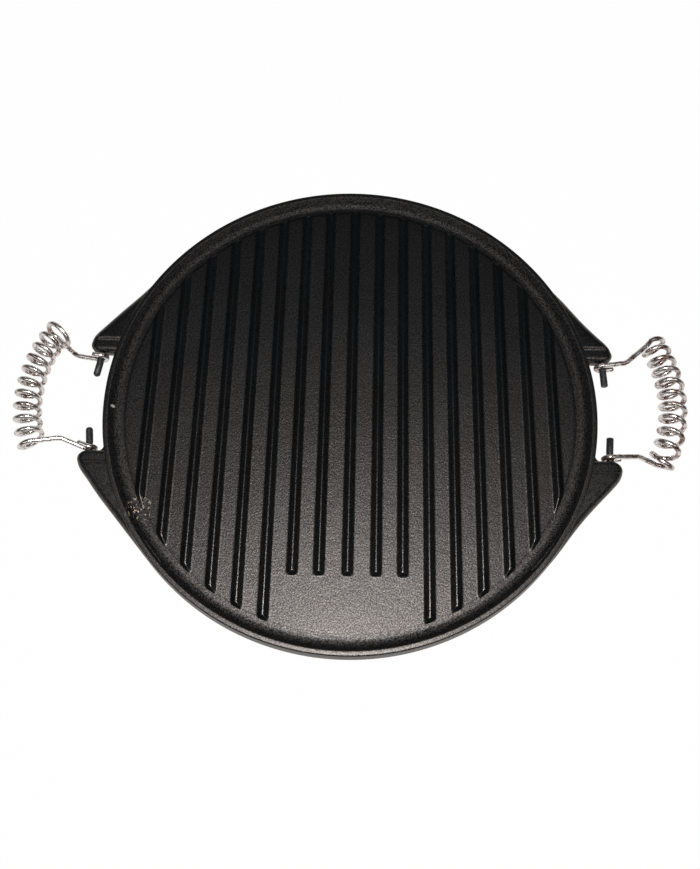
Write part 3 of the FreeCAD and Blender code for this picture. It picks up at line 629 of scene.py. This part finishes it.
def ear_outline(along, side, end):
    """How far out an ear reaches at a place along Y, and how square its edge is to X there."""
    depth, middle, length = EARS[side, end]
    off = min(abs(along - middle) / length, 1)
    inward = depth * (1 - off * off) ** 2
    across, onward = math.cos(EAR_TANGENT), math.sin(EAR_TANGENT)
    corner_along = (DISC_RADIUS - EAR_REACH * across) / onward
    rise = along - corner_along + EAR_CORNER * math.tan(EAR_TANGENT / 2)
    if rise <= 0:
        return EAR_REACH - inward, 1.0
    if rise < EAR_CORNER * onward:
        run = math.sqrt(EAR_CORNER ** 2 - rise ** 2)
        return EAR_REACH - EAR_CORNER + run - inward, run / EAR_CORNER
    return (DISC_RADIUS - along * onward) / across - inward, across


def add_ear(target, side, end):
    """One ear: a web that dies into the disc, stepping down to the boss that holds the stud."""
    outward, onward = (-1 if side == "left" else 1), (-1 if end == "front" else 1)
    steps = [STEP_START + STEP_RUN * share for share in STEP_ROWS]
    face = [EAR_FACE + FACE_ROUND * (1 - math.sin(math.radians(angle))) for angle in FACE_ANGLES]
    rows = []
    for along in (*WEB_ROWS, *steps, *BOSS_ROWS, *face):
        reach, squareness = ear_outline(along, side, end)
        web = smoothstep((along - STEP_START) / STEP_RUN)
        depth = along - EAR_FACE
        inset, corner = (size - math.sqrt(max(size ** 2 - max(size - depth, 0) ** 2, 0))
                         for size in (FACE_ROUND, FACE_CORNER))
        top = BOSS_HALF + (WEB_HALF - BOSS_HALF) * web - inset
        curve = BOSS_ROUND + (WEB_ROUND - BOSS_ROUND) * web - inset
        inner = math.sqrt(EAR_INNER ** 2 - along ** 2)
        start = reach - (corner + curve) / squareness
        row = [(inner, top), (max(start - EAR_SHOULDER, (inner + start) / 2), top)]
        for angle in (math.radians(angle) for angle in SIDE_ANGLES):
            row.append((start + curve / squareness * math.sin(angle), top - curve + curve * math.cos(angle)))
        row += [(out, -up) for out, up in reversed(row)]
        rows.append([(outward * out, onward * along, MIDDLE + up) for out, up in row])
    count = len(rows[0])
    faces = grid_faces(len(rows), count, closed_columns=True)
    faces += [tuple(range(count)), tuple(range((len(rows) - 1) * count, len(rows) * count))]
    add_shell(target, [point for row in rows for point in row], faces)
    add_root(target, outward, onward)


def add_root(target, side, end):
    """The hollow fillet between an ear's end face and the disc's wall."""
    along = EAR_FACE - ROOT_ROUND
    out = math.sqrt((DISC_RADIUS + ROOT_ROUND) ** 2 - along ** 2)
    touch = math.pi + math.atan2(along, out)
    plan = [(out, EAR_FACE + ROOT_LAP), (out - ROOT_DEPTH, EAR_FACE + ROOT_LAP), (out - ROOT_DEPTH, along)]
    for step in range(ROOT_STEPS + 1):
        angle = touch + (math.pi / 2 - touch) * step / ROOT_STEPS
        plan.append((out + ROOT_ROUND * math.cos(angle), along + ROOT_ROUND * math.sin(angle)))
    half = BOSS_HALF - FACE_ROUND
    levels = ((-half, ROOT_BEVEL), (ROOT_BEVEL - half, 0), (half - ROOT_BEVEL, 0), (half, ROOT_BEVEL))
    points = []
    for up, shrink in levels:
        for across, forth in plan:
            points.append((side * (across - shrink), end * (forth + shrink), MIDDLE + up))
    count = len(plan)
    faces = grid_faces(len(levels), count, closed_columns=True)
    faces += [tuple(range(count)), tuple(range(len(points) - count, len(points)))]
    add_shell(target, points, faces)


def make_casting(material):
    """The whole casting as one piece."""
    target = bmesh.new()
    add_disc(target)
    target.from_mesh(make_face(material))
    for side, end in EARS:
        add_ear(target, side, end)
    for face in target.faces:
        face.smooth = True
    mesh = bpy.data.meshes.new("cast_plate")
    target.to_mesh(mesh)
    target.free()
    mesh.set_sharp_from_angle(angle=SHARP_EDGE)
    new_piece("cast_plate", mesh, material, "plate", "cast_iron", "griddle_plate")


def straight_points(start, end):
    """Points of a straight run, after the first."""
    steps = max(2, int((end - start).length / STRAIGHT_SPACING))
    return [start + (end - start) * step / steps for step in range(1, steps + 1)]


def arc_points(start, end, heading, at_end=False):
    """Points of the arc between two points, after the first. The heading holds at one end."""
    if at_end:
        return arc_points(end, start, heading * -1)[-2::-1] + [end]
    chord = end - start
    along = chord.normalized()
    turn = heading.angle(along)
    side = (heading - along * heading.dot(along)).normalized()
    steps = max(2, int(chord.length / ARC_SPACING) + int(math.degrees(2 * turn) / ARC_STEP))
    if turn < LEAST_TURN:
        return [start + chord * step / steps for step in range(1, steps + 1)]
    radius = chord.length / 2 / math.sin(turn)
    centre = (start + end) / 2 - side * radius * math.cos(turn)
    points = []
    for step in range(1, steps + 1):
        angle = -turn + 2 * turn * step / steps
        points.append(centre + (side * math.cos(angle) + along * math.sin(angle)) * radius)
    return points


def biarc_points(start, heading, end, last):
    """Points of two tangent arcs from one point and heading to another, after the first."""
    gap = end - start
    spread = 2 * (1 - heading.dot(last))
    drift = gap.dot(heading + last)
    if spread < LEAST_SPREAD:
        reach = gap.dot(gap) / (4 * gap.dot(last))
    else:
        reach = (-drift + math.sqrt(drift * drift + spread * gap.dot(gap))) / spread
    middle = (start + heading * reach + end - last * reach) / 2
    return arc_points(start, middle, heading) + arc_points(middle, end, last, at_end=True)


def leg_points(leg, sign, coil_end, coil_heading):
    """A leg of a grip, from its tail round the stud and out to its coil."""
    along = sign * (EAR_FACE - leg["gap"] - WIRE_RADIUS)
    out, further, up = leg["bend"]
    tip = Vector((leg["tail"], along + leg["drift"], HOOK_RADIUS))
    top, inboard = Vector((0, along, HOOK_RADIUS)), Vector((-HOOK_RADIUS, along, 0))
    bend = Vector((out, along + further, up))
    leaving = math.atan2(up, out) - math.acos(HOOK_RADIUS / math.hypot(out, up))
    bottom = Vector((HOOK_RADIUS * math.cos(leaving), along, HOOK_RADIUS * math.sin(leaving)))
    inward, outward, onward = ((end - start).normalized()
                               for start, end in ((tip, top), (bottom, bend), (bend, coil_end)))
    down = Vector((0, 0, -1))
    setback = LEG_BEND * math.tan(outward.angle(onward) / 2)
    bend_start, bend_end = bend - outward * setback, bend + onward * setback
    entry = bend.lerp(coil_end, LEG_STRAIGHT_SHARE)
    points = [tip] + straight_points(tip, top) + biarc_points(top, inward, inboard, down)
    points += biarc_points(inboard, down, bottom, outward) + straight_points(bottom, bend_start)
    points += arc_points(bend_start, bend_end, outward) + straight_points(bend_end, entry)
    return points + biarc_points(entry, onward, coil_end, coil_heading)


def grip_points(side):
    """The middle line of a grip's wire, out from the hinge line, along it and up."""
    plan = GRIPS[side]
    whole = (2 * COIL_TURNS + 1) * math.pi
    first, last = plan["angles"]

    def coil_point(travel):
        """A point of the coil, by the angle travelled round it."""
        share = travel / whole
        lean, sway = (np.interp(share, COIL_SHARES, plan[key]) for key in ("leans", "sways"))
        for tip, passed in zip(plan["tips"], (travel, whole - travel)):
            lean += tip * (1 - smoothstep(passed / math.pi - 1))
        bearing = first + (last - first) * share + plan["crowd"] * math.sin(math.pi * share)
        bearing = math.radians(bearing - lean * math.cos(travel) + sway * math.sin(travel))
        reach = ARC_RADIUS + COIL_RADIUS * math.sin(travel)
        if math.pi < travel < 2 * math.pi:
            reach -= plan["opening"] * math.sin(travel) ** 2
        return Vector((reach * math.cos(bearing) - ARC_SETBACK,
                       reach * math.sin(bearing) + plan["shift"], -COIL_RADIUS * math.cos(travel)))

    def heading(travel, either_way=0.001):
        """The way that the wire runs there."""
        return (coil_point(travel + either_way) - coil_point(travel - either_way)).normalized()

    start, steps = math.radians(plan["start"]), int(whole / COIL_STEP)
    coil = [coil_point(start + (whole - start) * step / steps) for step in range(1, steps)]
    rear = leg_points(plan["rear"], 1, coil_point(start), heading(start))
    front = leg_points(plan["front"], -1, coil_point(whole), heading(whole) * -1)
    return rear + coil + front[::-1]


def drawn_wire():
    """Geometry Nodes that sweep a round wire along a curve."""
    shaper = Shaper("drawn_wire", "Wire Diameter", counts=("Sides",))
    inputs = {"Radius": shaper.entries["Wire Diameter"] * 0.5, "Resolution": shaper.entries["Sides"]}
    ring = shaper.node("GeometryNodeCurvePrimitiveCircle", {}, inputs)
    width = shaper.node("GeometryNodeInputNamedAttribute", {"data_type": "FLOAT"}, {"Name": "radius"})
    inputs = {"Curve": shaper.entries["Geometry"], "Profile Curve": ring, "Scale": width, "Fill Caps": True}
    shaper.end(shaper.node("GeometryNodeCurveToMesh", {}, inputs))
    return shaper


def swept(name, shaper, points, widths, diameter, sides, material):
    """A round bar along points in millimetres, with a share of the width at each, as a mesh."""
    curve = bpy.data.curves.new(name, "CURVE")
    curve.dimensions = "3D"
    curve.twist_mode = "MINIMUM"
    line = curve.splines.new("POLY")
    line.points.add(len(points) - 1)
    for place, (point, width) in enumerate(zip(points, widths)):
        line.points[place].co = (*(point * MM), 1)
        line.points[place].radius = width
    mesh = shaper.shape(name, curve, Wire_Diameter=diameter * MM, Sides=sides, Finish=material)
    mesh.set_sharp_from_angle(angle=SHARP_EDGE)
    return mesh


def make_grip(side, shaper, material):
    """One grip: a single length of wire with bevelled ends, hooked on both studs."""
    sign = -1 if side == "left" else 1
    points = []
    for out, along, up in grip_points(side):
        points.append(Vector((sign * (HINGE_OUT + out), along, MIDDLE - sign * up)))
    first, last = points[0], points[-1]
    inward = first + (points[1] - first).normalized() * WIRE_BEVEL
    outward = last + (points[-2] - last).normalized() * WIRE_BEVEL
    points = [first, inward, *points[1:-1], outward, last]
    widths = [1.0] * len(points)
    widths[0] = widths[-1] = 1 - WIRE_BEVEL / WIRE_RADIUS
    name = side + "_wire_grip"
    mesh = swept(name, shaper, points, widths, 2 * WIRE_RADIUS, WIRE_SIDES, material)
    new_piece(name, mesh, material, side + "_handle", "chrome_wire", side + "_spring_handle")


def tip_insets(kind, size):
    """How far back from a stud's tip, and how far in from its side, each step of its finish is."""
    if kind == "chamfer":
        return [(size, 0), (0, size)]
    return [(size * share, size - size * math.sqrt(1 - (1 - share) ** 2)) for share in DOME_SHARES]


def make_stud(name, shaper, material):
    """One stud, set in an ear's end face, whose free end leans out."""
    plan = STUDS[name]
    side, end = (-1 if "left" in name else 1), (-1 if "front" in name else 1)
    lean = math.radians(plan["lean"])
    line = [Vector((0, EAR_FACE + STUD_SET)), Vector((0, EAR_FACE)), Vector((0, STUD_BEND_AT))]
    for step in range(1, STUD_BEND_STEPS + 1):
        angle = lean * step / STUD_BEND_STEPS
        line.append(Vector((STUD_BEND * (1 - math.cos(angle)), STUD_BEND_AT - STUD_BEND * math.sin(angle))))
    widths = [1.0] * len(line)
    way = Vector((math.sin(lean), -math.cos(lean)))
    tip = line[-1] + way * (line[-1].y - STUD_TIP) / math.cos(lean)
    for back, inset in tip_insets(plan["tip"], plan["size"]):
        line.append(tip - way * back)
        widths.append(max(1 - inset / STUD_RADIUS, STUD_TIP_LEAST))
    points = [Vector((side * (HINGE_OUT + out), end * along, MIDDLE)) for out, along in line]
    mesh = swept(name + "_stud", shaper, points, widths, 2 * STUD_RADIUS, STUD_SIDES, material)
    new_piece(name + "_stud", mesh, material, "plate", "pin_steel", name + "_pin")


def make_table():
    """A white table under the griddle, which keeps its shadow."""
    mesh = bpy.data.meshes.new("table")
    corners = [(across * TABLE_REACH, along * TABLE_REACH, 0)
               for across, along in ((-1, -1), (1, -1), (1, 1), (-1, 1))]
    mesh.from_pydata(corners, [], [(0, 1, 2, 3)])
    table = bpy.data.objects.new("table", mesh)
    bpy.context.scene.collection.objects.link(table)
    finish = Finish("white_table", Base_Color=TABLE_COLOUR, Roughness=TABLE_ROUGHNESS)
    camera = finish.node("ShaderNodeLightPath", output="Is Camera Ray")
    glossy = finish.node("ShaderNodeLightPath", output="Is Glossy Ray")
    plain = Socket(finish, finish.shader.outputs[0])
    white = finish.node("ShaderNodeEmission", {}, {"Color": WHITE})
    inputs = {0: camera * TABLE_SHOWN + glossy * TABLE_REFLECTED, 1: plain, 2: white}
    finish.close(finish.node("ShaderNodeMixShader", {}, inputs), "Material Output")
    mesh.materials.append(finish.material)
    table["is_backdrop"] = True


def make_lamp(name, place, aim, size, power):
    """A soft rectangular lamp."""
    data = bpy.data.lights.new(name, "AREA")
    data.shape = "RECTANGLE"
    data.size, data.size_y = size
    data.energy = power
    lamp = bpy.data.objects.new(name, data)
    bpy.context.scene.collection.objects.link(lamp)
    lamp.location = place
    lamp.rotation_euler = (Vector(aim) - Vector(place)).to_track_quat("-Z", "Y").to_euler()


def make_room():
    """A dim room with a paler ceiling, and white where the camera sees past the table."""
    world = bpy.data.worlds.new("room")
    bpy.context.scene.world = world
    world.use_nodes = True
    room = Graph(world.node_tree)
    up = room.split(room.node("ShaderNodeTexCoord", output="Generated"))[2]
    tone = room.node("ShaderNodeValToRGB", {"stops": ROOM_TONES}, {"Fac": up})
    dim = room.node("ShaderNodeBackground", {}, {"Color": tone})
    white = room.node("ShaderNodeBackground", {}, {"Color": WHITE})
    camera = room.node("ShaderNodeLightPath", output="Is Camera Ray")
    room.close(room.node("ShaderNodeMixShader", {}, {0: camera, 1: dim, 2: white}), "World Output")


def make_camera():
    """The photograph's camera, from a fit of the rim, ribs and ears."""
    data = bpy.data.cameras.new("camera")
    data.sensor_width, data.lens = CAMERA_SENSOR, CAMERA_LENS
    data.clip_start, data.clip_end = CAMERA_NEAREST, CAMERA_FURTHEST
    camera = bpy.data.objects.new("camera", data)
    bpy.context.scene.collection.objects.link(camera)
    turn = Matrix.Rotation(CAMERA_YAW, 4, "Z") @ Matrix.Rotation(CAMERA_TILT, 4, "X")
    turn = turn @ Matrix.Rotation(CAMERA_ROLL, 4, "Z")
    camera.matrix_world = Matrix.Translation(CAMERA_PLACE) @ turn
    bpy.context.scene.camera = camera


iron, chrome, steel = iron_finish(), chrome_finish(), stud_finish()
make_casting(iron)
wire = drawn_wire()
for name in STUDS:
    make_stud(name, wire, steel)
for side in GRIPS:
    make_grip(side, wire, chrome)
for name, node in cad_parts.items():
    coat = iron if "plate" in name else chrome if "handle" in name else steel
    node.data.materials.clear()
    node.data.materials.append(coat)

make_table()
for name, lamp in LAMPS.items():
    make_lamp(name, **lamp)
make_room()
make_camera()
bpy.context.scene.view_settings.view_transform = "Standard"

LOOKS_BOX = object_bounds()
boxes = {"cad": [list(corner) for corner in CAD_BOX], "looks": [list(corner) for corner in LOOKS_BOX]}
